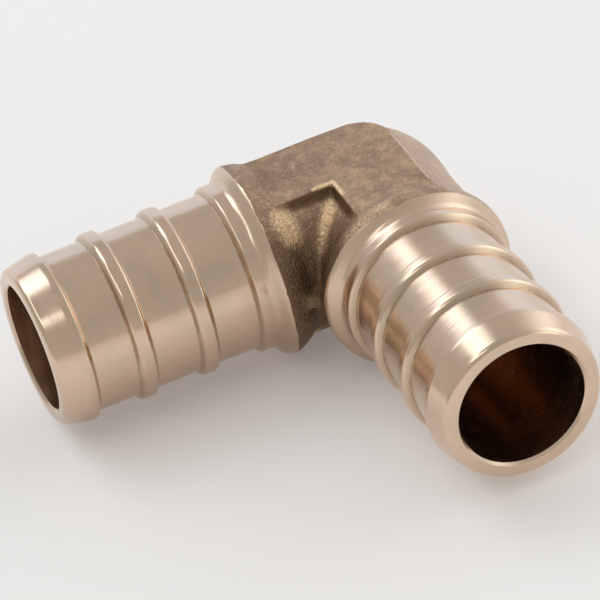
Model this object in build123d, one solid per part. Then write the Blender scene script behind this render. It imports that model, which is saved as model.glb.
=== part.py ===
from build123d import *
import math
import os

# ---------------------------------------------------------------- driving dimensions (mm)
# Frame: origin where the two centre lines cross, one arm along +X, the other along +Y, +Z up.

# insert ends
arm_len = 25.40          # centre lines' crossing to each open face
bore_r = 4.50            # waterway
rib_r = 6.05             # crests of the ribs, the nose and the tube land
root_r = 5.64            # between the ribs
face_r = 5.60            # outer edge of the open face, before its rounding
face_round = 0.48        # rounding of the outer edge of the open face
mouth_break = 0.18       # broken inner edge of the open face

# stations along an arm, measured from the crossing
nose_back = 22.72        # foot of the nose barb's back flank
nose_crest_0 = 22.98     # nose crest, back
nose_crest_1 = 23.40     # nose crest, front, where the lead-in taper starts
rib_a = 19.05            # middle of the outer rib
rib_b = 14.52            # middle of the inner rib
rib_top = 0.88           # width of a rib's crest
rib_foot = 1.48          # width of a rib at its root
rib_round = 0.36         # rounding of a rib's shoulders
rib_root_round = 0.08    # rounding at a rib's foot
land_0 = 9.52            # tube land, collar side
land_1 = 10.53           # tube land, rib side
land_foot = 10.83        # foot of the land's front flank

# collar behind the land
rim_s = 8.45             # machined edge on top of the collar
rim_r = 6.92
brow_s = 8.85            # shoulder of the machined front of the collar
brow_r = 6.85
crown_s = 8.15           # forged crown behind the machined edge
crown_r = 6.88
neck_s = 6.55            # where the collar's back meets the neck

# forged elbow body
neck_r = 6.08            # necks at the crossing, and the ball that rounds the outer corner
neck_end_r = 6.16        # necks where they meet the collars, by the draft of the forging
pad_z = 6.00             # height of the L-shaped flat above the centre lines
pad_out = -2.78          # outer edge of the flat, on both legs
pad_in = 3.05            # inner edge of the flat, on both legs
pad_end = 7.35           # how far the flat's legs run into the collars
pad_corner_r = 2.70      # outer corner of the flat, in plan
pad_notch_r = 0.35       # inner corner of the flat, in plan
under_out = -2.45        # the same flat on the underside is narrower
under_in = 2.45
pad_draft = 14.0         # draft of the flat's walls, degrees
pad_stop = 6.95          # where the flat ends against a collar's back
pad_stop_draft = 40.0    # slope of that end, degrees from upright
web_t = 0.90             # thickness of the web in the crotch, on the parting plane
web_reach = 7.05         # web's front edge on the diagonal, as x = y
web_in = 5.00            # web's root, buried in the body

# drilling
drill_cone = 59.0        # half angle of the drill point, degrees
drill_past = 0.60        # full-diameter drilling carried past the crossing


def rounded_path(points, rounds):
    """Edges of an open run of straight lines and tangent arcs; rounds is {corner index: radius}."""
    edges = []
    cursor = Vector(*points[0])
    for i in range(1, len(points)):
        p = Vector(*points[i])
        if i in rounds:
            u = (Vector(*points[i - 1]) - p).normalized()
            v = (Vector(*points[i + 1]) - p).normalized()
            half = math.radians(u.get_angle(v) / 2.0)
            r = rounds[i]
            start = p + u * (r / math.tan(half))
            end = p + v * (r / math.tan(half))
            mid = p + (u + v).normalized() * (r / math.sin(half) - r)
            edges.append(Edge.make_line(cursor, start))
            edges.append(Edge.make_three_point_arc(start, mid, end))
            cursor = end
        else:
            edges.append(Edge.make_line(cursor, p))
            cursor = p
    return edges


def closed_face(edges):
    """Face inside a run of edges, closed by a straight edge from its end to its start."""
    start = edges[0] @ 0
    end = edges[-1] @ 1
    return Face(Wire(edges + [Edge.make_line(end, start)]))


def arm():
    """Solid of revolution of the +X arm, undrilled: corner ball, neck, collar, land, ribs, nose."""
    q = neck_r * math.sqrt(0.5)
    ball = Edge.make_three_point_arc((-neck_r, 0), (-q, q), (0, neck_r))
    pts = [
        (0.0, neck_r),                   # 0
        (neck_s, neck_end_r),            # 1
        (crown_s, crown_r),              # 2
        (rim_s, rim_r),                  # 3
        (brow_s, brow_r),                # 4
        (land_0, rib_r),                 # 5
        (land_1, rib_r),                 # 6
        (land_foot, root_r),             # 7
        (rib_b - rib_foot / 2, root_r),  # 8
        (rib_b - rib_top / 2, rib_r),    # 9
        (rib_b + rib_top / 2, rib_r),    # 10
        (rib_b + rib_foot / 2, root_r),  # 11
        (rib_a - rib_foot / 2, root_r),  # 12
        (rib_a - rib_top / 2, rib_r),    # 13
        (rib_a + rib_top / 2, rib_r),    # 14
        (rib_a + rib_foot / 2, root_r),  # 15
        (nose_back, root_r),             # 16
        (nose_crest_0, rib_r),           # 17
        (nose_crest_1, rib_r),           # 18
        (arm_len, face_r),               # 19
        (arm_len, 0.0),                  # 20
    ]
    rounds = {1: 1.2, 2: 0.60, 3: 0.10, 4: 0.60, 5: 0.75, 6: 0.20, 7: 0.08,
              8: rib_root_round, 9: rib_round, 10: rib_round, 11: rib_root_round,
              12: rib_root_round, 13: rib_round, 14: rib_round, 15: rib_root_round,
              16: 0.06, 17: 0.12, 18: 1.20, 19: face_round}
    return revolve(closed_face([ball] + rounded_path(pts, rounds)), Axis.X, 360)


def bore():
    """Drilling of the +X arm: straight waterway, mouth broken, drill point past the crossing."""
    tip = -drill_past - bore_r / math.tan(math.radians(drill_cone))
    out = arm_len + 1.0
    pts = [(tip, 0), (-drill_past, bore_r), (arm_len - mouth_break, bore_r),
           (arm_len, bore_r + mouth_break), (out, bore_r + mouth_break), (out, 0)]
    return revolve(closed_face(rounded_path(pts, {})), Axis.X, 360)


def flat_pad(outer, inner):
    """L-shaped boss on the elbow, walls drafted outwards going down; its top is left high."""
    top = pad_z + 0.30
    k = 0.30 * math.tan(math.radians(pad_draft))
    e, lo, hi = pad_end, outer + k, inner - k
    pts = [(e, lo), (lo, lo), (lo, e), (hi, e), (hi, hi), (e, hi)]
    outline = Pos(0, 0, top) * closed_face(rounded_path(pts, {1: pad_corner_r, 4: pad_notch_r}))
    return extrude(outline, amount=top - 3.0, dir=(0, 0, -1), taper=-pad_draft)


def pad_cutter():
    """What lies above the flat, between the two collars, sloped where it meets their backs."""
    lo, hi = -12.0, pad_stop
    pts = [(lo, lo), (hi, lo), (hi, hi), (lo, hi)]
    outline = Pos(0, 0, pad_z) * closed_face(rounded_path(pts, {}))
    return extrude(outline, amount=2.0, dir=(0, 0, 1), taper=-pad_stop_draft)


def crotch_web():
    """Thin web on the parting plane between the backs of the two collars."""
    e = web_reach + 0.70
    pts = [(web_in, web_in), (e, web_in), (e, 2 * web_reach - e), (2 * web_reach - e, e), (web_in, e)]
    outline = Pos(0, 0, -web_t / 2) * closed_face(rounded_path(pts, {}))
    return extrude(outline, amount=web_t, dir=(0, 0, 1))


# ---------------------------------------------------------------- build
# One arm is trimmed at the mitre plane x = y, given its quarter of the corner ball, and mirrored.
side = 60.0
mitre_side = Rot(0, 0, 45) * Box(side, side, side, align=(Align.CENTER, Align.MAX, Align.CENTER))
half_x = arm() & mitre_side
half_y = half_x.mirror(Plane((0, 0, 0), z_dir=(1, -1, 0)))
body = half_x + half_y
print("body", body.is_valid, len(body.solids()), round(body.volume, 2))

body = body + flat_pad(pad_out, pad_in) - pad_cutter()
body = body + flat_pad(under_out, under_in).mirror(Plane.XY) - pad_cutter().mirror(Plane.XY)
body = body + crotch_web()
drilled_x = bore()
drilled_y = drilled_x.mirror(Plane((0, 0, 0), z_dir=(1, -1, 0)))
body = body - drilled_x - drilled_y
print("elbow", body.is_valid, len(body.solids()), round(body.volume, 2))
elbow = body.solid()

os.makedirs("parts", exist_ok=True)
export_step(elbow, "parts/elbow.step")
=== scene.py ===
import math

import bpy
import numpy as np
from mathutils import Matrix, Vector


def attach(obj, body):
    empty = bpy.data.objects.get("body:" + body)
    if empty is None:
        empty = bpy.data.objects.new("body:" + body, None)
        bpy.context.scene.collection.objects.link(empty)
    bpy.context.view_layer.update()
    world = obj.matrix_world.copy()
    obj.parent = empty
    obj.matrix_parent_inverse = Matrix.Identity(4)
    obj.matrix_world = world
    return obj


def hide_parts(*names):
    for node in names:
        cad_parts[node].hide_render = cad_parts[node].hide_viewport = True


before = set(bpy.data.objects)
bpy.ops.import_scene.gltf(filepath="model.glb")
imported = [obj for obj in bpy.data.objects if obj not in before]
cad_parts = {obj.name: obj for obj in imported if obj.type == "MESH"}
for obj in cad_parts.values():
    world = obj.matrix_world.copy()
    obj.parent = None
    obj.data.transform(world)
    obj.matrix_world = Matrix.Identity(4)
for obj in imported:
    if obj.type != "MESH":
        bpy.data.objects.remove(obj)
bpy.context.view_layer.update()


MM = 0.001
SQ2 = math.sqrt(2.0)


# ---------------------------------------------------------------- camera
# Place and aim in the frame of the CAD, millimetres.
CAM = Vector((85.54501, 277.48741, 209.15974))
CAM_RIGHT = Vector((-0.90578777, 0.38893304, -0.16816542))
CAM_UP = Vector((-0.36142655, -0.50199734, 0.78572865))
CAM_BACK = Vector((0.22117724, 0.77248285, 0.59527378))
CAM_FOCAL_PX = 5176.8    # for an image 600 px wide

cam_data = bpy.data.cameras.new("camera")
cam_data.sensor_fit = "HORIZONTAL"
cam_data.sensor_width = 36.0
cam_data.lens = CAM_FOCAL_PX * 36.0 / 600.0
cam_data.clip_start = 0.01
cam_data.clip_end = 20.0
cam = bpy.data.objects.new("camera", cam_data)
m = Matrix.Identity(4)
for i, axis in enumerate((CAM_RIGHT, CAM_UP, CAM_BACK)):
    for j in range(3):
        m[j][i] = axis[j]
m.translation = CAM * MM
cam.matrix_world = m
bpy.context.scene.collection.objects.link(cam)
bpy.context.scene.camera = cam


# ---------------------------------------------------------------- noise
class Noise3:
    """Smooth seeded noise in three dimensions, about -1 to 1, on a lattice that repeats every 64 cells."""

    def __init__(self, seed):
        rng = np.random.default_rng(seed)
        g = rng.normal(size=(64, 64, 64, 3))
        self.g = g / np.linalg.norm(g, axis=-1, keepdims=True)

    def __call__(self, x, y, z):
        xi, yi, zi = np.floor(x), np.floor(y), np.floor(z)
        fx, fy, fz = x - xi, y - yi, z - zi
        xi, yi, zi = xi.astype(int) & 63, yi.astype(int) & 63, zi.astype(int) & 63
        ux, uy, uz = (f * f * f * (f * (f * 6 - 15) + 10) for f in (fx, fy, fz))
        total = np.zeros_like(x)
        for dx in (0, 1):
            for dy in (0, 1):
                for dz in (0, 1):
                    g = self.g[(xi + dx) & 63, (yi + dy) & 63, (zi + dz) & 63]
                    w = (
                        (ux if dx else 1 - ux)
                        * (uy if dy else 1 - uy)
                        * (uz if dz else 1 - uz)
                    )
                    total += w * (
                        g[..., 0] * (fx - dx) + g[..., 1] * (fy - dy) + g[..., 2] * (fz - dz)
                    )
        return total * 1.6


noise_a = Noise3(11)
noise_b = Noise3(23)


# ---------------------------------------------------------------- forged body, as a distance field (mm)
# Radius of the forging along an arm, before the cutter takes the front of the collar: neck, flare, crown.
STATION = np.array([0.0, 5.4, 6.2, 6.55, 6.85, 7.05, 7.35, 7.6, 7.95, 8.2, 8.5, 8.8, 9.1, 9.4, 9.9, 12.0])
RADIUS_X = np.array([6.08, 6.16, 6.18, 6.21, 6.28, 6.40, 6.60, 6.75, 6.89, 6.95, 6.99, 6.98, 6.90, 6.76, 6.50, 6.00])
RADIUS_Y = np.array([6.06, 6.09, 6.12, 6.15, 6.22, 6.33, 6.50, 6.64, 6.77, 6.83, 6.87, 6.86, 6.80, 6.68, 6.44, 6.00])
BALL_R = 6.03


def dense(values):
    """The run of radii, smoothed, on a fine even grid of stations."""
    s = np.arange(0.0, 12.0, 0.01)
    r = np.interp(s, STATION, values)
    k = np.hanning(41)
    k /= k.sum()
    pad = np.concatenate([np.full(20, r[0]), r, np.full(20, r[-1])])
    return s, np.convolve(pad, k, mode="valid")


TABLE_X, TABLE_Y = dense(RADIUS_X), dense(RADIUS_Y)


def smin(a, b, k):
    h = np.clip(k - np.abs(a - b), 0, None) / k
    return np.minimum(a, b) - h * h * k * 0.25


def smax(a, b, k):
    return -smin(-a, -b, k)


def smooth_table(rows):
    """Values by angle round the arm, degrees, smoothed, once round."""
    t = np.arange(0, 360, 1.0)
    v = np.interp(t, *np.array(rows, float).T)
    k = np.hanning(15)
    return np.convolve(np.concatenate([v[-7:], v, v[:7]]), k / k.sum(), mode="valid")


# How far each collar stands out of round, and how much its front is lower near the top, by angle.
SIDE_X = smooth_table([(0, -0.12), (30, -0.16), (45, -0.15), (70, -0.11), (130, -0.11), (180, -0.06), (230, 0.0),
                       (315, -0.02), (345, -0.10), (360, -0.12)])
DIP_X = smooth_table([(0, 0.0), (60, 0.01), (90, 0.02), (120, 0.01), (360, 0.0)])
SIDE_Y = smooth_table([(0, 0.08), (45, 0.01), (90, -0.05), (117, -0.075), (150, -0.13), (180, -0.19),
                       (210, -0.13), (270, -0.05), (315, 0.01), (360, 0.08)])
DIP_Y = smooth_table([(0, 0.0), (48, 0.0), (60, 0.04), (67, 0.08), (79, 0.16), (92, 0.095), (104, 0.05),
                      (119, 0.0), (360, 0.0)])


def arm_field(s, u, z, table, side, dip):
    """Distance to one arm's forging: s along the arm, u across it, z up."""
    rho = np.sqrt(u * u + z * z) + 1e-9
    flare = np.clip((s - 6.4) / 1.6, 0, 1)
    front = np.clip((s - 8.3) / 1.0, 0, 2)
    turn = np.degrees(np.arctan2(z, u)) % 360.0
    at = np.arange(0, 361, 1.0)
    radius = (
        np.interp(s, *table)
        + flare * np.interp(turn, at, np.append(side, side[0]))
        - (0.25 * flare + front) * np.interp(turn, at, np.append(dip, dip[0]))
    )
    tube = (rho - radius) * 0.95
    ball = np.sqrt(s * s + rho * rho) - BALL_R - 0.05 * np.clip(1 + s / 6.0, 0, 1)
    return np.where(s >= 0, tube, np.maximum(ball, -99.0))


def ell(x, y, outer, inner, r_out, k_in):
    """Signed distance, in plan, to an L between its outer and inner edges."""
    qx, qy = outer + r_out - x, outer + r_out - y
    d_out = (
        np.sqrt(np.maximum(qx, 0) ** 2 + np.maximum(qy, 0) ** 2)
        + np.minimum(np.maximum(qx, qy), 0)
        - r_out
    )
    d_in = smin(x - inner, y - inner, k_in)
    return np.maximum(d_out, d_in)


def forged(x, y, z):
    """Distance field of the forging, positive outside, without its skin's relief."""
    d = smin(
        arm_field(x, y, z, TABLE_X, SIDE_X, DIP_X),
        arm_field(y, x, z, TABLE_Y, SIDE_Y, DIP_Y),
        0.45,
    )
    for sign, outer, inner, height in ((1, -2.76, 3.05, 6.00), (-1, -2.45, 2.45, 6.00)):
        zz = z * sign
        t = math.tan(math.radians(13.0))
        walls = (ell(x, y, outer, inner, 2.75, 0.35) - (height - zz) * t) * 0.97
        walls = np.maximum(walls, 2.5 - zz)
        walls = np.maximum(walls, np.maximum(x, y) - 7.6)
        pad = smax(walls, zz - height, 0.20)
        reach = np.maximum(x, y) - 6.80
        roof = zz - height - np.logaddexp(0, reach / 0.15) * 0.15 * 1.15
        d = smax(d, roof * 0.75, 0.15)
        d = smin(d, pad, 0.16)
    web = smax(np.abs(z + 0.05) - 0.50, (x + y - 14.15) / SQ2, 0.30)
    web = np.maximum(web, 5.0 - np.minimum(x, y))
    return smin(d, web, 0.45)


def relief(x, y, z):
    """Hollows and grain of the forging's blasted skin, mm outwards."""
    big = noise_a(x * 0.40, y * 0.40, z * 0.40)
    mid = noise_b(x * 1.1 + 7, y * 1.1, z * 1.1)
    small = noise_a(x * 2.9, y * 2.9 + 19, z * 2.9)
    fine = noise_b(x * 5.7, y * 5.7, z * 5.7 + 31)
    return 0.030 * big + 0.012 * mid + 0.007 * small + 0.007 * fine


def skin(x, y, z):
    return forged(x, y, z) - relief(x, y, z)


def skin_normal(x, y, z, h=0.02):
    n = np.stack(
        [
            skin(x + h, y, z) - skin(x - h, y, z),
            skin(x, y + h, z) - skin(x, y - h, z),
            skin(x, y, z + h) - skin(x, y, z - h),
        ],
        -1,
    )
    return n / np.linalg.norm(n, axis=-1, keepdims=True)


def cast(origin, direction, far):
    """First way out of the forging along each ray from inside it, then refined on the skin with its relief."""
    steps = 90
    shape = origin.shape[:-1]
    hi = np.full(shape, np.nan)
    last = np.zeros(shape)
    for i in range(1, steps + 1):
        r = far * i / steps
        p = origin + direction * r
        out = forged(p[..., 0], p[..., 1], p[..., 2]) > 0
        new = out & np.isnan(hi)
        hi[new] = r
        still = np.isnan(hi)
        last[still] = r
    hi = np.where(np.isnan(hi), far, hi)
    lo = last
    for _ in range(14):
        mid = (lo + hi) / 2
        p = origin + direction * mid[..., None]
        out = forged(p[..., 0], p[..., 1], p[..., 2]) > 0
        hi = np.where(out, mid, hi)
        lo = np.where(out, lo, mid)
    r = (lo + hi) / 2
    for _ in range(5):
        p = origin + direction * r[..., None]
        d = skin(p[..., 0], p[..., 1], p[..., 2])
        q = origin + direction * (r + 0.02)[..., None]
        slope = (skin(q[..., 0], q[..., 1], q[..., 2]) - d) / 0.02
        r = r - np.clip(d / np.maximum(slope, 0.25), -0.05, 0.05)
    return r


# ---------------------------------------------------------------- machined profile, (station, radius) in mm
def rounded(points, rounds, steps=5):
    """Points and the two normals at each (before and after it) along a run of lines and tangent arcs."""
    pts, nin, nout = [], [], []

    def add(p, a, b):
        pts.append(p)
        nin.append(a)
        nout.append(b)

    P = [np.array(p, float) for p in points]
    line_n = []
    for a, b in zip(P[:-1], P[1:]):
        t = (b - a) / np.linalg.norm(b - a)
        line_n.append(np.array([-t[1], t[0]]))
    for i, p in enumerate(P):
        before = line_n[i - 1] if i else line_n[0]
        after = line_n[i] if i < len(line_n) else line_n[-1]
        r = rounds.get(i)
        if r and 0 < i < len(P) - 1:
            u = (P[i - 1] - p) / np.linalg.norm(P[i - 1] - p)
            v = (P[i + 1] - p) / np.linalg.norm(P[i + 1] - p)
            half = math.acos(max(-1, min(1, float(u @ v)))) / 2
            cut = r / math.tan(half)
            centre = p + (u + v) / np.linalg.norm(u + v) * (r / math.sin(half))
            start = p + u * cut
            turn = math.pi - 2 * half
            side = 1.0 if float(before @ (start - centre)) > 0 else -1.0
            n = max(2, int(round(steps * max(turn, 0.5) / 0.9)))
            for k in range(n + 1):
                w = k / n
                ang = turn * w
                d0, d1 = before, after
                # spherical blend from the first line's normal to the second's
                nn = (math.sin(turn - ang) * d0 + math.sin(ang) * d1) / math.sin(turn)
                nn /= np.linalg.norm(nn)
                add(centre + side * r * nn, nn, nn)
        else:
            add(p, before, after)
    return np.array(pts), np.array(nin), np.array(nout)


# Cutter's face on the front of the collar, from outside the forging down to the tube land.
CUTTER = [(7.75, 7.08), (8.85, 6.85), (9.52, 6.05), (10.4, 6.05)]
cutter_pts, cutter_nin, cutter_nout = rounded(CUTTER, {1: 0.70, 2: 0.75}, 10)
JOIN_S = 9.93

PROFILE = [
    (8.85, 6.85),     # 0, on the cutter's slope; only the part from JOIN_S on is used
    (9.52, 6.05),     # 1 tube land
    (10.53, 6.05),    # 2
    (10.83, 5.64),    # 3
    (13.88, 5.64),    # 4 inner rib
    (14.08, 6.05),    # 5
    (14.96, 6.05),    # 6
    (15.26, 5.64),    # 7
    (18.41, 5.64),    # 8 outer rib
    (18.61, 6.05),    # 9
    (19.49, 6.05),    # 10
    (19.79, 5.64),    # 11
    (22.72, 5.64),    # 12 nose
    (22.98, 6.05),    # 13
    (23.40, 6.05),    # 14
    (25.40, 5.60),    # 15 open face
    (25.40, 4.68),    # 16
    (25.22, 4.50),    # 17 waterway
]
ROUNDS = {1: 0.75, 2: 0.20, 3: 0.06, 4: 0.06, 5: 0.26, 6: 0.44, 7: 0.06, 8: 0.06, 9: 0.26,
          10: 0.44, 11: 0.06, 12: 0.05, 13: 0.13, 14: 1.20, 15: 0.48, 16: 0.05, 17: 0.05}
FEET = (10.83, 13.88, 15.26, 18.41, 19.79, 22.72)      # where the flanks meet the roots


def cutter_at(s):
    """Radius and normal of the cutter's face at each station s."""
    r = np.interp(s, cutter_pts[:, 0], cutter_pts[:, 1])
    ns = np.interp(s, cutter_pts[:, 0], cutter_nout[:, 0])
    nr = np.interp(s, cutter_pts[:, 0], cutter_nout[:, 1])
    n = np.sqrt(ns * ns + nr * nr)
    return r, ns / n, nr / n


# ---------------------------------------------------------------- grid of the whole fitting
# Columns: angles round an arm's own axis, from the other arm's direction towards +Z, closer together in the crook.
COLS = 384
ROWS = 61


def angles():
    t = np.linspace(0, 2 * math.pi, 3601)
    away = np.abs((t + math.pi) % (2 * math.pi) - math.pi)
    density = 1.0 + 1.6 * np.exp(-((away / 0.22) ** 2)) + 0.8 * np.exp(-(((away - 1.08) / 0.16) ** 2)) \
        + 0.7 * np.exp(-(((away - 2.05) / 0.14) ** 2))
    c = np.concatenate([[0], np.cumsum((density[1:] + density[:-1]) / 2)])
    c /= c[-1]
    return np.interp(np.arange(COLS) / COLS, c, t)


THETA = angles()
COS, SIN = np.cos(THETA), np.sin(THETA)


def to_xyz(arm, s, r, col=slice(None)):
    """Points of the arm ('x' or 'y') at station s and radius r, for the columns col."""
    u, z = r * COS[col], r * SIN[col]
    return np.stack([s, u, z], -1) if arm == "x" else np.stack([u, s, z], -1)


def to_dir(arm, ns, nr, col=slice(None)):
    u, z = nr * COS[col], nr * SIN[col]
    s = np.broadcast_to(ns, u.shape)
    return np.stack([s, u, z], -1) if arm == "x" else np.stack([u, s, z], -1)


verts = []          # (n, 3) blocks
faces = []          # (vertex indices, corner normals, material)
count = 0


def put(block):
    global count
    first = count
    verts.append(block.reshape(-1, 3))
    count += len(verts[-1])
    return first


# the mitre ring, shared by the two arms
mitre_dir = np.stack([COS, COS, SIN], -1)
mitre_len = cast(np.zeros((COLS, 3)), mitre_dir, 12.0)
mitre = mitre_dir * mitre_len[:, None]
mitre_first = put(mitre)
mitre_ids = mitre_first + np.arange(COLS)
mitre_s = mitre[:, 0]

half = np.arange(0, COLS, 2)
HC = len(half)

# inner mitre ring of the waterways: straight drilling, or the drill point past the crossing
CONE = math.tan(math.radians(59.0))
TIP = -0.60 - 4.50 / CONE
r_in = np.full(HC, 4.5)
cc = COS[half]
past = 4.5 * cc < -0.60
r_in[past] = (-TIP * CONE) / (1 - CONE * cc[past])
inner_mitre = np.stack([r_in * cc, r_in * cc, r_in * SIN[half]], -1)
inner_first = put(inner_mitre)
inner_ids = inner_first + np.arange(HC)
inner_s = r_in * cc

MACHINED, FORGED, WATERWAY = 0, 1, 2


def quad_rows(ids_a, ids_b, na, nb, mat, flip, mats=None):
    """Quads between two rings of equal length; na and nb are the corner normals along each ring."""
    n = len(ids_a)
    j = np.arange(n)
    k = (j + 1) % n
    quad = np.stack([ids_a[j], ids_b[j], ids_b[k], ids_a[k]], -1)
    norm = np.stack([na[j], nb[j], nb[k], na[k]], 1)
    if flip:
        quad, norm = quad[:, ::-1], norm[:, ::-1]
    faces.append((quad, norm, np.full(n, mat)))


for arm in "xy":
    flip = arm == "x"
    # where the cutter's face meets the forged skin, at each angle
    lo = np.full(COLS, 8.40)
    hi = np.full(COLS, 9.56)
    for _ in range(18):
        mid = (lo + hi) / 2
        r, _, _ = cutter_at(mid)
        p = to_xyz(arm, mid, r)
        outside = skin(p[:, 0], p[:, 1], p[:, 2]) > 0     # cutter still clear of the forging
        lo = np.where(outside, mid, lo)
        hi = np.where(outside, hi, mid)
    edge_s = (lo + hi) / 2
    edge_r, _, _ = cutter_at(edge_s)
    edge = to_xyz(arm, edge_s, edge_r)
    edge_ids = put(edge) + np.arange(COLS)

    # forged rows between the mitre and that edge
    t = np.arange(1, ROWS) / ROWS
    t = t + 0.10 * np.sin(2 * math.pi * t) / (2 * math.pi) * -1.0
    grid_s = mitre_s[None, :] + (edge_s - mitre_s)[None, :] * t[:, None]
    origin = to_xyz(arm, grid_s, np.zeros_like(grid_s))
    direction = to_dir(arm, np.zeros_like(grid_s), np.ones_like(grid_s))
    r = cast(origin, direction, 9.0)
    pts = origin + direction * r[..., None]
    first = put(pts)
    ids = first + np.arange((ROWS - 1) * COLS).reshape(ROWS - 1, COLS)
    rings = [mitre_ids] + list(ids) + [edge_ids]
    ring_pts = [mitre] + list(pts) + [edge]
    ring_n = [skin_normal(q[:, 0], q[:, 1], q[:, 2]) for q in ring_pts]
    for a in range(len(rings) - 1):
        quad_rows(rings[a], rings[a + 1], ring_n[a], ring_n[a + 1], FORGED, flip)

    # machined front of the collar, from the irregular edge to the fixed profile
    e_s = edge_s[half]
    steps = 20
    front = []
    for k in range(1, steps + 1):
        s = e_s + (JOIN_S - e_s) * k / steps
        rr, ns, nr = cutter_at(s)
        front.append((put(to_xyz(arm, s, rr, half)) + np.arange(HC), to_dir(arm, ns, nr, half)))
    # stitch: two forged columns to one machined column
    _, ns0, nr0 = cutter_at(edge_s)
    n_edge = to_dir(arm, ns0, nr0)
    j = np.arange(HC)
    b0, b1 = front[0][0][j], front[0][0][(j + 1) % HC]
    nb0, nb1 = front[0][1][j], front[0][1][(j + 1) % HC]
    c0, c1, c2 = 2 * j, 2 * j + 1, (2 * j + 2) % COLS
    for tri, nrm in (
        ((edge_ids[c0], b0, edge_ids[c1]), (n_edge[c0], nb0, n_edge[c1])),
        ((edge_ids[c1], b0, b1), (n_edge[c1], nb0, nb1)),
        ((edge_ids[c1], b1, edge_ids[c2]), (n_edge[c1], nb1, n_edge[c2])),
    ):
        tri, nrm = np.stack(tri, -1), np.stack(nrm, 1)
        if flip:
            tri, nrm = tri[:, ::-1], nrm[:, ::-1]
        faces.append((tri, nrm, np.full(HC, MACHINED)))
    for a in range(len(front) - 1):
        quad_rows(front[a][0], front[a + 1][0], front[a][1], front[a + 1][1], MACHINED, flip)

    # the turned profile out to the open face and into the waterway
    pts2, nin, nout = rounded(PROFILE, ROUNDS, 5)
    r_join, _, _ = cutter_at(np.array([JOIN_S]))
    keep = np.where(pts2[:, 0] > JOIN_S + 0.02)[0]
    prev_ids, prev_n = front[-1]
    for k in keep:
        s_k, r_k = pts2[k]
        ring = put(to_xyz(arm, np.full(HC, s_k), np.full(HC, r_k), half)) + np.arange(HC)
        n_in = to_dir(arm, nin[k][0], nin[k][1] * np.ones(HC), half) if False else to_dir(
            arm, np.full(HC, nin[k][0]), np.full(HC, nin[k][1]), half)
        n_out = to_dir(arm, np.full(HC, nout[k][0]), np.full(HC, nout[k][1]), half)
        quad_rows(prev_ids, ring, prev_n, n_in, MACHINED, flip)
        prev_ids, prev_n = ring, n_out

    # waterway, from the mouth back to the mitre
    inward = to_dir(arm, np.zeros(HC), np.full(HC, -1.0), half)
    prev_n = inward
    for s_k in (24.0, 20.0, 16.0, 12.0, 8.0):
        ring = put(to_xyz(arm, np.full(HC, s_k), np.full(HC, 4.5), half)) + np.arange(HC)
        quad_rows(prev_ids, ring, prev_n, inward, WATERWAY, flip)
        prev_ids = ring
    deep = 14
    for k in range(1, deep + 1):
        w = k / deep
        s = 8.0 + (inner_s - 8.0) * w
        rr = np.minimum(4.5, (s - TIP) * CONE)
        on_cone = s < -0.60
        n_s = np.where(on_cone, math.sin(math.radians(59.0)), 0.0)
        n_r = np.where(on_cone, -math.cos(math.radians(59.0)), -1.0)
        nrm = to_dir(arm, n_s, n_r, half)
        if k < deep:
            ring = put(to_xyz(arm, s, rr, half)) + np.arange(HC)
        else:
            ring = inner_ids
        quad_rows(prev_ids, ring, prev_n, nrm, WATERWAY, flip)
        prev_ids, prev_n = ring, nrm


def make_mesh(name):
    v = np.concatenate(verts) * MM
    me = bpy.data.meshes.new(name)
    loops = np.concatenate([f[0].reshape(-1) for f in faces])
    normals = np.concatenate([f[1].reshape(-1, 3) for f in faces])
    mats = np.concatenate([f[2] for f in faces])
    sizes = np.concatenate([np.full(len(f[0]), f[0].shape[1]) for f in faces])
    starts = np.concatenate([[0], np.cumsum(sizes)[:-1]])
    me.vertices.add(len(v))
    me.vertices.foreach_set("co", v.reshape(-1).astype(np.float32))
    me.loops.add(len(loops))
    me.loops.foreach_set("vertex_index", loops.astype(np.int32))
    me.polygons.add(len(sizes))
    me.polygons.foreach_set("loop_start", starts.astype(np.int32))
    me.polygons.foreach_set("material_index", mats.astype(np.int32))
    me.update(calc_edges=True)
    me.polygons.foreach_set("use_smooth", np.ones(len(sizes), bool))
    me.update()
    assert not me.validate(verbose=False)
    me.normals_split_custom_set(normals.astype(np.float32).tolist())
    return me


mesh = make_mesh("fitting")
fitting = bpy.data.objects.new("fitting", mesh)
bpy.context.scene.collection.objects.link(fitting)
print("triangles", sum(len(f[0]) * (f[0].shape[1] - 2) for f in faces), "vertices", count)


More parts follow.
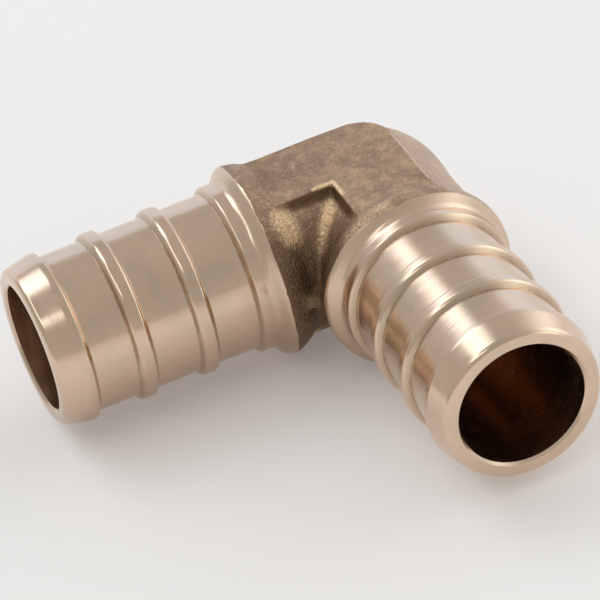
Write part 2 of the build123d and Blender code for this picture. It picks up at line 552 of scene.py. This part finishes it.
# ---------------------------------------------------------------- materials
class Nodes:
    """Short hand for building a shader."""

    def __init__(self, name):
        self.mat = bpy.data.materials.new(name)
        self.mat.use_nodes = True
        self.tree = self.mat.node_tree
        self.tree.nodes.clear()
        self.out = self.tree.nodes.new("ShaderNodeOutputMaterial")
        self.bsdf = self.tree.nodes.new("ShaderNodeBsdfPrincipled")
        self.link(self.bsdf.outputs[0], self.out.inputs[0])

    def new(self, kind, **props):
        n = self.tree.nodes.new(kind)
        for k, val in props.items():
            setattr(n, k, val)
        return n

    def link(self, a, b):
        self.tree.links.new(a, b)

    def put(self, socket, value):
        if hasattr(value, "is_output") or isinstance(value, bpy.types.NodeSocket):
            self.link(value, socket)
        else:
            socket.default_value = value

    def math(self, op, a, b=None, c=None, clamp=False):
        n = self.new("ShaderNodeMath", operation=op, use_clamp=clamp)
        for i, val in enumerate((a, b, c)):
            if val is not None:
                self.put(n.inputs[i], val)
        return n.outputs[0]

    def noise(self, vector, scale, detail=4.0, rough=0.55, distortion=0.0):
        n = self.new("ShaderNodeTexNoise")
        self.put(n.inputs["Vector"], vector)
        n.inputs["Scale"].default_value = scale
        n.inputs["Detail"].default_value = detail
        n.inputs["Roughness"].default_value = rough
        n.inputs["Distortion"].default_value = distortion
        return n.outputs["Fac"]

    def ramp(self, fac, stops, ease="LINEAR"):
        n = self.new("ShaderNodeValToRGB")
        cr = n.color_ramp
        cr.interpolation = ease
        while len(cr.elements) < len(stops):
            cr.elements.new(0.5)
        for el, (pos, col) in zip(cr.elements, stops):
            el.position = pos
            el.color = (*col, 1.0) if len(col) == 3 else col
        self.put(n.inputs[0], fac)
        return n.outputs[0]

    def remap(self, value, a, b, c, d):
        n = self.new("ShaderNodeMapRange")
        self.put(n.inputs[0], value)
        for i, x in enumerate((a, b, c, d)):
            n.inputs[i + 1].default_value = x
        return n.outputs[0]

    def combine(self, x, y, z):
        n = self.new("ShaderNodeCombineXYZ")
        for i, val in enumerate((x, y, z)):
            self.put(n.inputs[i], val)
        return n.outputs[0]

    def mix(self, fac, a, b, blend="MIX"):
        n = self.new("ShaderNodeMix", data_type="RGBA", blend_type=blend)
        self.put(n.inputs[0], fac)
        for sock, val in ((n.inputs[6], a), (n.inputs[7], b)):
            if isinstance(val, tuple):
                sock.default_value = (*val, 1.0) if len(val) == 3 else val
            else:
                self.link(val, sock)
        return n.outputs[2]

    def bump(self, height, strength, distance, normal=None):
        n = self.new("ShaderNodeBump")
        n.inputs["Strength"].default_value = strength
        n.inputs["Distance"].default_value = distance
        self.put(n.inputs["Height"], height)
        if normal is not None:
            self.link(normal, n.inputs["Normal"])
        return n.outputs[0]

    def arm_coordinates(self):
        """(object position in mm, station along the arm, across, up, radius) from the object's own coordinates."""
        tc = self.new("ShaderNodeTexCoord")
        sc = self.new("ShaderNodeVectorMath", operation="SCALE")
        self.link(tc.outputs["Object"], sc.inputs[0])
        sc.inputs["Scale"].default_value = 1000.0
        sep = self.new("ShaderNodeSeparateXYZ")
        self.link(sc.outputs[0], sep.inputs[0])
        x, y, z = sep.outputs
        s = self.math("MAXIMUM", x, y)
        u = self.math("MINIMUM", x, y)
        rho = self.math("SQRT", self.math("ADD", self.math("MULTIPLY", u, u), self.math("MULTIPLY", z, z)))
        return sc.outputs[0], s, u, z, rho


def machined_brass(name, inside=False):
    k = Nodes(name)
    pos, s, u, z, rho = k.arm_coordinates()
    b = k.bsdf
    b.inputs["Metallic"].default_value = 1.0
    b.inputs["Specular IOR Level"].default_value = 0.5
    # turning marks: fine rings along the arm, or round it on the open face, that barely change round it
    inv = k.math("DIVIDE", 1.0, k.math("ADD", rho, 0.001))
    cu = k.math("MULTIPLY", u, inv)
    su = k.math("MULTIPLY", z, inv)
    run = k.math("ADD", s, rho)
    ring = k.combine(k.math("MULTIPLY", run, 9.0), k.math("MULTIPLY", cu, 0.35), k.math("MULTIPLY", su, 0.35))
    fine = k.noise(ring, 1.0, 5.0, 0.62)
    ring2 = k.combine(k.math("MULTIPLY", run, 1.1), k.math("MULTIPLY", cu, 0.9), k.math("MULTIPLY", su, 0.9))
    broad = k.noise(ring2, 1.0, 3.0, 0.5)
    cloud = k.noise(pos, 0.33, 4.0, 0.6)
    dull = k.noise(pos, 2.3, 3.0, 0.6)
    if inside:
        col = k.ramp(cloud, [(0.30, (0.56, 0.37, 0.23)), (0.72, (0.71, 0.50, 0.34))])
        rough = k.remap(broad, 0.3, 0.7, 0.20, 0.30)
    else:
        col = k.ramp(cloud, [(0.38, TURNED_LOW), (0.64, TURNED_HIGH)])
        col = k.mix(k.remap(fine, 0.35, 0.70, 0.0, 0.12), col, (0.56, 0.41, 0.27))
        rough = k.math("ADD", k.remap(broad, 0.3, 0.7, 0.13, 0.18), k.remap(dull, 0.4, 0.8, 0.0, 0.04))
        # painted shade: the nose-facing flanks of the ribs darker, with a dark line in the crease at the feet of the
        # flanks; those flanks are also a little rougher
        flank_shade_and_dull = k.math("MULTIPLY", k.remap(rho, 5.66, 5.72, 0.0, 1.0), k.remap(rho, 5.82, 5.97, 1.0, 0.0))
        front = None
        for middle in (10.68, 15.11, 19.64):
            gap = k.math("ABSOLUTE", k.math("SUBTRACT", s, middle))
            front = gap if front is None else k.math("MINIMUM", front, gap)
        flank_shade_and_dull = k.math("MULTIPLY", flank_shade_and_dull, k.remap(front, 0.20, 0.30, 1.0, 0.0))
        col = k.mix(k.math("MULTIPLY", flank_shade_and_dull, 0.50), col, (0.42, 0.32, 0.215))
        rough = k.math("ADD", rough, k.math("MULTIPLY", flank_shade_and_dull, 0.05))
        rough = k.math("ADD", rough, k.remap(s, 10.0, 9.6, 0.0, 0.08))
        near = None
        for foot in FEET:
            gap = k.math("ABSOLUTE", k.math("SUBTRACT", s, foot))
            near = gap if near is None else k.math("MINIMUM", near, gap)
        painted_foot_shade = k.math("MULTIPLY", k.remap(near, 0.01, 0.08, 1.0, 0.0), k.remap(dull, 0.35, 0.60, 0.30, 0.70))
        painted_foot_shade = k.math("MULTIPLY", painted_foot_shade, k.remap(front, 0.25, 0.35, 1.0, 0.30))
        col = k.mix(painted_foot_shade, col, (0.27, 0.19, 0.115))
        # painted shade: darker under the X arm, and low down where the two arms face each other near the collars
        place = k.new("ShaderNodeSeparateXYZ")
        k.link(pos, place.inputs[0])
        first = k.math("GREATER_THAN", place.outputs[0], place.outputs[1])
        painted_under_shade = k.math("MULTIPLY", k.remap(place.outputs[2], 1.0, -3.5, 0.0, 0.50), first)
        inner = k.math("MULTIPLY", k.remap(s, 12.5, 9.6, 0.0, 1.0), k.remap(u, 0.5, 4.5, 0.0, 1.0))
        inner = k.math("MULTIPLY", inner, k.remap(place.outputs[2], 2.5, -2.5, 0.0, 0.85))
        col = k.mix(k.math("MAXIMUM", painted_under_shade, inner), col, (0.50, 0.365, 0.265))
    k.put(b.inputs["Base Color"], col)
    k.put(b.inputs["Roughness"], rough)
    n = k.bump(fine, 0.16, 0.00002)
    n = k.bump(broad, 0.18, 0.00005, n)
    k.link(n, b.inputs["Normal"])
    return k.mat


def near_run(k, pos, a, b, full, fade):
    """1 within full mm of the straight run from a to b, falling to 0 at fade mm; the run is mirrored below z = 0."""
    flip = k.new("ShaderNodeVectorMath", operation="ABSOLUTE")
    k.link(pos, flip.inputs[0])
    up = k.new("ShaderNodeSeparateXYZ")
    k.link(flip.outputs[0], up.inputs[0])
    side = k.new("ShaderNodeSeparateXYZ")
    k.link(pos, side.inputs[0])
    here = k.combine(side.outputs[0], side.outputs[1], up.outputs[2])
    ab = Vector(b) - Vector(a)
    rel = k.new("ShaderNodeVectorMath", operation="SUBTRACT")
    k.link(here, rel.inputs[0])
    rel.inputs[1].default_value = a
    dot = k.new("ShaderNodeVectorMath", operation="DOT_PRODUCT")
    k.link(rel.outputs[0], dot.inputs[0])
    dot.inputs[1].default_value = ab / ab.length_squared
    t = k.math("MAXIMUM", k.math("MINIMUM", dot.outputs["Value"], 1.0), 0.0)
    along = k.new("ShaderNodeVectorMath", operation="SCALE")
    along.inputs[0].default_value = ab
    k.link(t, along.inputs["Scale"])
    gap = k.new("ShaderNodeVectorMath", operation="DISTANCE")
    k.link(rel.outputs[0], gap.inputs[0])
    k.link(along.outputs[0], gap.inputs[1])
    return k.remap(gap.outputs["Value"], full, fade, 1.0, 0.0)


def forged_brass(name):
    k = Nodes(name)
    pos, s, u, z, rho = k.arm_coordinates()
    b = k.bsdf
    b.inputs["Metallic"].default_value = 1.0
    b.inputs["Specular IOR Level"].default_value = 0.5
    cloud = k.noise(pos, 0.30, 4.0, 0.55, 0.4)
    patch = k.noise(pos, 1.15, 5.0, 0.70, 0.3)
    grain = k.noise(pos, 5.0, 3.0, 0.60)
    glint = k.noise(pos, 6.5, 1.0, 0.5)
    sand = k.noise(pos, 12.0, 3.0, 0.65)
    depth = k.math("ABSOLUTE", z)

    def between(value, a0, a1, b1, b0):
        return k.math("MULTIPLY", k.remap(value, a0, a1, 0.0, 1.0), k.remap(value, b1, b0, 1.0, 0.0))

    # painted highlight where light catches the blasted skin: backs of the collars, ridge of the crook; on the rim of
    # the notch, wear as well as painted highlight
    collar_back_highlight = near_run(k, pos, (7.15, 3.8, 5.2), (7.10, 4.8, 4.4), 0.40, 1.15)
    painted_highlight_and_wear = collar_back_highlight
    for other in (
        near_run(k, pos, (3.75, 4.00, 4.85), (5.40, 5.60, 3.00), 0.30, 0.75),
        k.math("MULTIPLY", near_run(k, pos, (1.6, 8.45, 6.6), (4.2, 8.35, 5.2), 0.1, 0.9), 0.35),
        near_run(k, pos, (2.98, 2.98, 6.03), (2.98, 4.6, 6.03), 0.06, 0.28),
        near_run(k, pos, (2.98, 2.98, 6.03), (4.4, 2.98, 6.03), 0.05, 0.24),
    ):
        painted_highlight_and_wear = k.math("MAXIMUM", painted_highlight_and_wear, other)
    # painted highlight along the pad's outer top edge
    painted_edge_highlight = near_run(k, pos, (-2.82, 0.3, 5.97), (-2.82, 6.3, 5.97), 0.10, 0.30)
    # the outer side walls of the pad: paler and smoother skin
    outer_wall = k.remap(u, -2.85, -3.25, 0.0, 1.0)
    warm = near_run(k, pos, (0.2, 1.2, 6.0), (1.4, 5.0, 6.0), 0.4, 2.6)
    # painted shade: darker deep in the crook, on the wall under the rim of the notch, on the side of the Y neck
    # facing the crook and where the pad meets the X collar; less where the collar backs carry their painted
    # highlight
    deep = k.math("MULTIPLY", k.remap(k.math("ADD", s, u), 8.4, 11.4, 0.0, 1.0), k.remap(depth, 5.7, 4.4, 0.0, 1.0))
    painted_wall_shade = k.math("MULTIPLY", between(u, 2.95, 3.08, 3.30, 3.55), between(depth, 4.60, 5.20, 5.80, 5.98))
    painted_wall_shade = k.math("MULTIPLY", painted_wall_shade, k.remap(s, 6.2, 7.0, 1.0, 0.25))
    painted_shade = k.math("MAXIMUM", k.math("MULTIPLY", deep, 0.85), painted_wall_shade)
    painted_shade = k.math("MAXIMUM", painted_shade, k.math("MULTIPLY", near_run(k, pos, (4.6, 7.3, 4.6), (5.6, 7.3, 3.2), 0.3, 1.3), 0.45))
    painted_shade = k.math("MAXIMUM", painted_shade, k.math("MULTIPLY", near_run(k, pos, (6.5, -2.2, 6.1), (7.0, 0.6, 6.2), 0.1, 1.3), 0.50))

    painted_shade = k.math("MULTIPLY", painted_shade, k.math("SUBTRACT", 1.0, k.math("MULTIPLY", collar_back_highlight, 0.70)))

    geo = k.new("ShaderNodeNewGeometry")
    face = k.new("ShaderNodeSeparateXYZ")
    k.link(geo.outputs["Normal"], face.inputs[0])
    flat = k.remap(k.math("ABSOLUTE", face.outputs[2]), 0.86, 0.98, 0.0, 1.0)
    rugged = k.math("SUBTRACT", 1.0, k.math("MAXIMUM", k.math("MULTIPLY", flat, 0.50), k.math("MULTIPLY", outer_wall, 0.55)))

    col = k.ramp(cloud, [(0.36, (0.335, 0.218, 0.150)), (0.50, (0.43, 0.288, 0.188)), (0.64, (0.55, 0.386, 0.236))])
    col = k.mix(k.remap(patch, 0.46, 0.66, 0.0, 0.60), col, (0.285, 0.190, 0.135))
    col = k.mix(k.remap(patch, 0.50, 0.34, 0.0, 0.55), col, (0.62, 0.440, 0.272))
    col = k.mix(k.math("MULTIPLY", warm, k.remap(patch, 0.35, 0.60, 0.45, 0.0)), col, (0.60, 0.420, 0.260))
    col = k.mix(k.math("MULTIPLY", outer_wall, 0.55), col, (0.66, 0.515, 0.425))
    col = k.mix(k.math("MULTIPLY", painted_edge_highlight, 0.80), col, (0.84, 0.68, 0.56))
    col = k.mix(k.math("MULTIPLY", painted_highlight_and_wear, 0.93), col, (0.97, 0.70, 0.42))
    col = k.mix(k.math("MULTIPLY", painted_shade, k.remap(patch, 0.3, 0.7, 0.97, 0.80)), col, (0.155, 0.095, 0.055))
    # grains: painted shade in the hollows of the bump and painted glints on its tops, more of both where the skin is
    # rugged
    painted_hollow_shade = k.math("MULTIPLY", k.remap(grain, 0.34, 0.46, 0.60, 0.0), rugged)
    col = k.mix(painted_hollow_shade, col, (0.22, 0.145, 0.09))
    painted_glint = k.math("MULTIPLY", k.remap(glint, 0.56, 0.67, 0.0, 1.0), k.math("ADD", k.math("MULTIPLY", rugged, 0.34), k.math("MULTIPLY", painted_highlight_and_wear, 0.80)))
    painted_glint = k.math("MULTIPLY", painted_glint, k.math("SUBTRACT", 1.0, k.math("MULTIPLY", painted_shade, 0.92)))
    col = k.mix(painted_glint, col, (0.98, 0.78, 0.54))
    # painted shade in the pits of the fine sand bump
    col = k.mix(k.remap(sand, 0.34, 0.46, 0.30, 0.0), col, (0.24, 0.165, 0.11))
    k.put(b.inputs["Base Color"], col)
    k.put(b.inputs["Roughness"], k.math("SUBTRACT", k.remap(grain, 0.35, 0.65, 0.54, 0.44), k.math("MULTIPLY", painted_glint, 0.14)))
    n = k.bump(sand, 0.60, 0.00006)
    height = k.math("MULTIPLY", k.math("ADD", grain, k.math("MULTIPLY", glint, 0.6)), rugged)
    n = k.bump(height, 0.70, 0.00016, n)
    n = k.bump(patch, 0.30, 0.00020, n)
    k.link(n, b.inputs["Normal"])
    return k.mat


# Base colours of the turned brass.
TURNED_LOW = (0.665, 0.528, 0.400)
TURNED_HIGH = (0.755, 0.562, 0.432)

mesh.materials.append(machined_brass("brass_turned"))
mesh.materials.append(forged_brass("brass_forged"))
mesh.materials.append(machined_brass("brass_waterway", inside=True))

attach(fitting, "root")
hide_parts("elbow")


# ---------------------------------------------------------------- floor, light
FLOOR_Z = (float(np.concatenate(verts)[:, 2].min()) - 0.01) * MM

floor_mesh = bpy.data.meshes.new("floor")
w = 2.5
floor_mesh.from_pydata([(-w, -w, FLOOR_Z), (w, -w, FLOOR_Z), (w, w, FLOOR_Z), (-w, w, FLOOR_Z)], [], [(0, 1, 2, 3)])
floor = bpy.data.objects.new("floor", floor_mesh)
bpy.context.scene.collection.objects.link(floor)
fm = Nodes("floor_pale")
tc = fm.new("ShaderNodeTexCoord")
fm.put(fm.bsdf.inputs["Base Color"], fm.ramp(fm.noise(tc.outputs["Object"], 3.0, 2.0), [(0.3, (0.85, 0.835, 0.825)), (0.7, (0.87, 0.855, 0.845))]))
fm.bsdf.inputs["Roughness"].default_value = 0.9
fm.bsdf.inputs["Emission Color"].default_value = (1.0, 0.955, 0.93, 1.0)      # a lit table
fm.bsdf.inputs["Emission Strength"].default_value = 0.13
fm.bsdf.inputs["Specular IOR Level"].default_value = 0.1
floor_mesh.materials.append(fm.mat)


def direction(az, el):
    """Unit vector: azimuth in degrees from +Y towards +X, elevation in degrees."""
    a, e = math.radians(az), math.radians(el)
    return Vector((math.sin(a) * math.cos(e), math.cos(a) * math.cos(e), math.sin(e)))


# A studio of soft light: an even surround, soft boxes with soft edges, a pale wall behind, dark by the camera.
LIGHT = 1.0
SURROUND = (0.575, 0.565, 0.545)
LOBES = [
    # round: azimuth, elevation, half width in degrees, colour (negative where the studio is dark)
    (-110, 20, 14.0, (1.08, 1.14, 1.22)),    # soft box on the right
    (-80, 26, 14.0, (0.92, 0.94, 0.98)),
    (-47, 12, 9.0, (1.10, 1.15, 1.05)),
    (72, 16, 24.0, (-0.06, -0.05, -0.07)),   # dark on the left
    (-12, 46, 24.0, (-0.05, -0.055, -0.065)),  # darker round the camera
]
BOXES = [
    # azimuth, its half width, elevation, its half height, soft edge, colour
    (154, 20, 51, 16, 6.0, (1.72, 1.87, 2.08)),     # large soft box behind on the left
    (80, 52, 58, 6, 2.5, (1.50, 1.55, 1.60)),       # strip light high on the left
    (-172, 38, 2, 24, 4.0, (0.30, 0.38, 0.52)),     # pale wall behind
    (5, 55, -2, 10, 3.0, (0.26, 0.22, 0.20)),       # the floor's sweep in front
]
world = bpy.data.worlds.new("studio")
bpy.context.scene.world = world
world.use_nodes = True
wt = world.node_tree
wt.nodes.clear()


def wnode(kind, **props):
    n = wt.nodes.new(kind)
    for key, val in props.items():
        setattr(n, key, val)
    return n


def wmath(op, a, b=None, c=None):
    n = wnode("ShaderNodeMath", operation=op)
    for i, val in enumerate((a, b, c)):
        if val is None:
            continue
        if isinstance(val, (int, float)):
            n.inputs[i].default_value = val
        else:
            wt.links.new(val, n.inputs[i])
    return n.outputs[0]


def soft_step(value, edge, soft):
    """1 while value is under edge, 0 past it, over a soft band (degrees)."""
    n = wnode("ShaderNodeMapRange", interpolation_type="SMOOTHSTEP")
    wt.links.new(value, n.inputs[0])
    for i, x in enumerate((edge - soft, edge + soft, 1.0, 0.0)):
        n.inputs[i + 1].default_value = x
    return n.outputs[0]


w_coord = wnode("ShaderNodeTexCoord").outputs["Generated"]
w_sep = wnode("ShaderNodeSeparateXYZ")
wt.links.new(w_coord, w_sep.inputs[0])
degrees = 180.0 / math.pi
elevation = wmath("MULTIPLY", wmath("ARCSINE", w_sep.outputs[2]), degrees)
total = wnode("ShaderNodeVectorMath", operation="ADD")
total.inputs[0].default_value = tuple(c * LIGHT for c in SURROUND)
total.inputs[1].default_value = (0, 0, 0)
total = total.outputs[0]


def shine(amount, colour):
    """Adds colour times amount to the world's light."""
    global total
    sc = wnode("ShaderNodeVectorMath", operation="SCALE")
    sc.inputs[0].default_value = tuple(c * LIGHT for c in colour)
    wt.links.new(amount, sc.inputs["Scale"])
    add = wnode("ShaderNodeVectorMath", operation="ADD")
    wt.links.new(total, add.inputs[0])
    wt.links.new(sc.outputs[0], add.inputs[1])
    total = add.outputs[0]


def dot_with(axis):
    dot = wnode("ShaderNodeVectorMath", operation="DOT_PRODUCT")
    wt.links.new(w_coord, dot.inputs[0])
    dot.inputs[1].default_value = axis
    return dot.outputs["Value"]


for az, el, width, colour in LOBES:
    k = 1.0 / math.radians(width) ** 2
    shine(wmath("EXPONENT", wmath("MULTIPLY_ADD", dot_with(direction(az, el)), k, -k)), colour)
for az, half_az, el, half_el, soft, colour in BOXES:
    ahead, across = dot_with(direction(az, 0)), dot_with(direction(az + 90, 0))
    turn = wmath("MULTIPLY", wmath("ABSOLUTE", wmath("ARCTAN2", across, ahead)), degrees)
    rise = wmath("ABSOLUTE", wmath("SUBTRACT", elevation, float(el)))
    shine(wmath("MULTIPLY", soft_step(turn, half_az, soft * 1.6), soft_step(rise, half_el, soft)), colour)
w_bg = wnode("ShaderNodeBackground")
w_out = wnode("ShaderNodeOutputWorld")
wt.links.new(total, w_bg.inputs["Color"])
wt.links.new(w_bg.outputs[0], w_out.inputs[0])

bpy.context.scene.view_settings.view_transform = "Standard"
bpy.context.scene.view_settings.look = "None"
